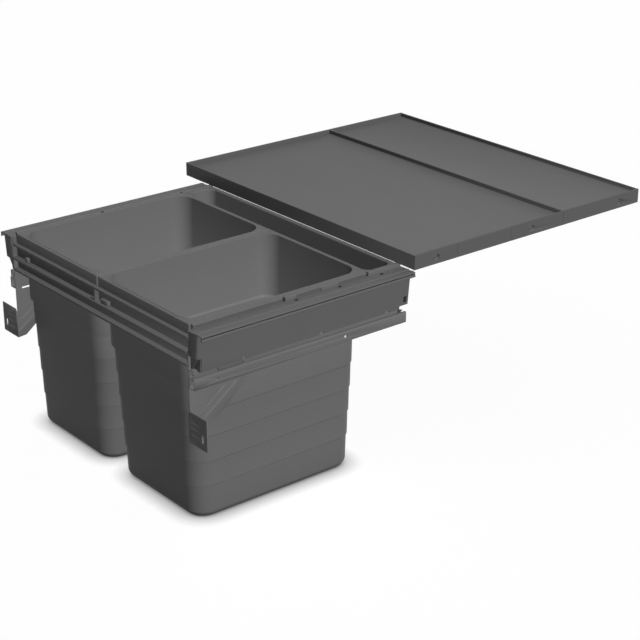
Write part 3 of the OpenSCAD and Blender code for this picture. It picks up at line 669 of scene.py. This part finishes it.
# Release levers. Small moulded acetal levers that turn on steel pins under the side profiles
# and unlatch the drawer from its runners. The pins hang from the profiles' floors.
# Grey acetal from a polished mould: smoother than the ABS beside it
grey_acetal = moulded(
    "grey_acetal_polished_mould", "#545454", roughness=0.45, ior=1.48,
    grain=1.5, relief_mm=0.02, specular=0.1)
for side in ("left", "right"):
    eased(side + "_release_lever", 0.5, grey_acetal, side + "_lever", "runner_plastic")
# Blackened steel: an oxide film that keeps the pins dull
pin_steel = coated_steel("blackened_pin_steel", "#6E6E6E", 0.5)
repaint("lever_pins", pin_steel)

# Bins. Tall tapered buckets of injection-moulded polypropylene: a straight collar zone over a
# ledge, four shallow steps round the wall, a bevelled foot and a lip that hangs on the frame.
# Polypropylene from an eroded mould: satin, with a soft bright edge along the rims
bin_pp = moulded(
    "eroded_polypropylene_bin", "#656565", roughness=0.5, ior=1.49,
    grain=1.6, relief_mm=0.06, specular=0.06)
bin_x0, bin_y0, bin_x1, bin_y1 = 3.2, 8.6, 224.7, 310.7
bin_r = 29.5
# Narrowing down to the foot, what the side toward the other bin narrows besides, and wall
taper, flare, bin_t = 9.9, 3.5, 2.2
foot_z = -303
step_in = 0.9
step_levels = [51.5 + 39 * i + foot_z for i in range(4)]
ledge_z, ledge_in = -95.5, 3.0
slope = (taper - ledge_in - len(step_levels) * step_in) / (ledge_z - foot_z)


def bin_plan(inset, skin=0.0):
    """The bin's outline at an inset from its rim, or the inner face's with the wall as skin."""
    x0 = bin_x0 + inset * (1 + flare / taper) + skin
    return outline(x0, bin_y0 + inset + skin, bin_x1 - inset - skin, bin_y1 - inset - skin, bin_r - skin)


def wall_inset(z, passed):
    """Inset of the wall at a height, above so many steps."""
    return taper - slope * (z - foot_z) - passed * step_in


ring_x0, ring_y0, ring_x1, ring_y1 = 0.5, 6.3, 227.0, 313.0


def lip_plan(grow):
    """The outer edge of the bin's lip and of the bag ring on it, grown outward."""
    return outline(ring_x0 - grow, ring_y0 - grow, ring_x1 + grow, ring_y1 + grow, 3 + grow)


for mirror, side in sides:
    # The foot's bevel and the four steps
    levels = eased_levels(lambda g: bin_plan(taper, -g), (-11, foot_z), (-3.5, foot_z), (-0.2, -293), 6)
    for i, z in enumerate(step_levels):
        low, high = wall_inset(z - 1.5, i), wall_inset(z, i + 1)
        levels += [(bin_plan(low), z - 1.5), (bin_plan(low - 0.1), z - 1.1)]
        levels += [(bin_plan(high + 0.05), z - 0.3), (bin_plan(high), z)]
    # The ledge, the straight collar zone and the lip that hangs on the frame
    levels += [(bin_plan(ledge_in), ledge_z), (bin_plan(0.8), ledge_z)]
    levels += eased_levels(bin_plan, (0.8, ledge_z), (0.1, ledge_z), (0.1, -94.6), 3)
    levels += [(bin_plan(0), -56), (bin_plan(0), -10), (lip_plan(0), -10), (lip_plan(0), -8.5)]
    levels += [(bin_plan(0), -8.5), (bin_plan(0), 3.5)]
    # Over the rim and down the inner face to the floor
    levels += [(bin_plan(0, bin_t), 3.5), (bin_plan(0.1, bin_t), -92), (bin_plan(ledge_in, bin_t), -97)]
    levels += [(bin_plan(wall_inset(-293, 0), bin_t), -289)]
    levels += eased_levels(lambda g: bin_plan(taper, -g), (-2.6, -289), (-6, -300), (-13, -300), 6)
    shell = lofted(side + "_bin_shell", levels, bin_pp, mirror, sharp=24)
    fitted(shell, side + "_bin_set", "bin_plastic", side + "_bin")

# Bag rings. Moulded ABS rims that drop into the bins and clamp the bags; a raised bead runs
# round each mouth, and the collar hangs inside the bin.
bead_w, bead_h = 1.8, 0.9
mouth = (7.2, 12.6, 220.0, 306.4, 27.0)


def mouth_plan(grow):
    """The ring's mouth, grown outward."""
    x0, y0, x1, y1, r = mouth
    return outline(x0 - grow, y0 - grow, x1 + grow, y1 + grow, r + grow)


# Inner face of the skirt, the rim's turned-down outer edge
skirt = outline(2.9, ring_y0 + 1.6, ring_x1 - 1.6, ring_y1 - 1.6, 1.4)
skirt_z = -8.4
flat_z = 5.0
bead_z = flat_z + bead_h
for mirror, side in sides:
    levels = [(lip_plan(0), skirt_z)]
    levels += eased_levels(lip_plan, (0, flat_z - 1.4), (0, flat_z), (-1.4, flat_z), 4)
    # The bead round the mouth
    levels += eased_levels(mouth_plan, (bead_w + 0.5, flat_z), (bead_w, flat_z), (bead_w, flat_z + 0.5), 2)
    levels += eased_levels(mouth_plan, (bead_w, flat_z + 0.5), (bead_w, bead_z), (bead_w - 0.5, bead_z), 2)
    levels += eased_levels(mouth_plan, (0.7, bead_z), (0, bead_z), (0, flat_z), 3)
    # The collar narrows downward and ends in a bead that turns into the bin
    levels += [(mouth_plan(-2.1), -88.6), (mouth_plan(-3.5), -90.9), (mouth_plan(-3.6), -91.9)]
    levels += [(mouth_plan(-1.9), -91.9), (mouth_plan(-0.8), -91.2), (mouth_plan(1.5), 3.5)]
    levels += [(skirt, 3.5), (skirt, skirt_z)]
    ring = lofted(side + "_bag_rim", levels, trim_abs, mirror, loop=True, sharp=50)
    fitted(ring, side + "_bin_set", "trim_plastic", side + "_bag_ring")

# Lid. The cover lid is screwed between the cabinet's sides over the bins: two shallow trays
# between two side rails with bushes, all moulded of ABS. Here it is drawn back over the rear.
# Grained as the drawer's frame
lid_rail_abs = moulded(
    "grained_abs_lid_rail", "#555555", roughness=0.55, ior=1.52,
    grain=1.4, relief_mm=0.05, specular=0.06)
bush_y, bush_z = (398.3, 590.3, 782.3), 21.7
# The sunk ring round each bush: its floor, an end clear of the rail, and its radius
ring_floor_x, clear_x, ring_r = 277.5, 283, 5.2
for mirror, side in sides:
    rail = eased("lid_" + side + "_rail", 0.25, lid_rail_abs, "lid", "frame_plastic", segments=1, flat=True)
    rings = [
        prism("ring", disc(y, bush_z, ring_r), "x", ring_floor_x, clear_x, lid_rail_abs, mirror)
        for y in bush_y]
    carved(rail, rings)
lid_abs = moulded(
    "grained_abs_lid_tray", "#5B5B5B", roughness=0.55, ior=1.52,
    grain=1.4, relief_mm=0.05, specular=0.06)
for node in ("lid_front_tray", "lid_rear_tray"):
    eased(node, 0.6, lid_abs, "lid", "trim_plastic")
eased("lid_bushes", 0.25, trim_abs, "lid", "runner_plastic")
